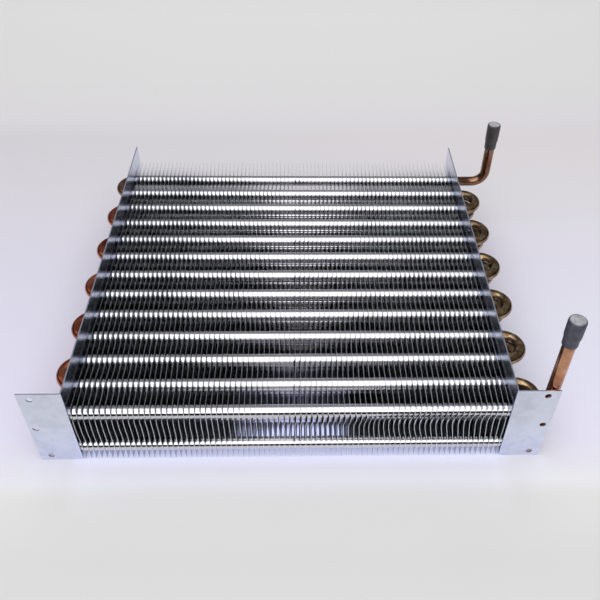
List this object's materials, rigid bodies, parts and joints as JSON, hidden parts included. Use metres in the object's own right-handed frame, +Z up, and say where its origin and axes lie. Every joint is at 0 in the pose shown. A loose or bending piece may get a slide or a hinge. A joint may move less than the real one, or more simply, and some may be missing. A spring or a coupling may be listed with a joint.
{
  "type": "finned tube evaporator coil",
  "caption": "Flat finned tube evaporator coil: copper circuit in staggered rows through thin aluminium fins, flanged steel end plates, capped inlet and outlet stubs.",
  "frame": {"origin": "centre of the four corner mounting holes, on the front face of the two flanges", "axes": "+X along the tubes towards the connection stubs, +Y from the flanges to the rear, +Z up"},
  "size_m": [0.3959, 0.3305, 0.1396],
  "materials": {
    "fins": "bright rolled fin stock",
    "end_plates": "galvanised sheet",
    "copper": "drawn copper tube, tarnished",
    "return_bends": "copper tube, browned by brazing heat",
    "caps": "moulded vinyl"
  },
  "bodies": {
    "root": {"fin_pack": "fins", "hairpin_01": "copper", "hairpin_02": "copper", "hairpin_03": "copper", "hairpin_04": "copper", "hairpin_05": "copper", "hairpin_06": "copper", "hairpin_07": "copper", "hairpin_08": "copper", "hairpin_09": "copper", "hairpin_10": "copper", "hairpin_11": "copper", "hairpin_12": "copper", "hairpin_13": "copper", "hairpin_14": "copper", "hairpin_15": "copper", "hairpin_16": "copper", "hairpin_17": "copper", "hairpin_18": "copper", "hairpin_19": "copper", "inlet_cap": "caps", "inlet_stub": "copper", "left_end_plate": "end_plates", "outlet_cap": "caps", "outlet_stub": "copper", "return_bend_01": "return_bends", "return_bend_02": "return_bends", "return_bend_03": "return_bends", "return_bend_04": "return_bends", "return_bend_05": "return_bends", "return_bend_06": "return_bends", "return_bend_07": "return_bends", "return_bend_08": "return_bends", "return_bend_09": "return_bends", "return_bend_10": "return_bends", "return_bend_11": "return_bends", "return_bend_12": "return_bends", "return_bend_13": "return_bends", "return_bend_14": "return_bends", "return_bend_15": "return_bends", "return_bend_16": "return_bends", "return_bend_17": "return_bends", "return_bend_18": "return_bends", "right_end_plate": "end_plates"}
  },
  "joints": []
}
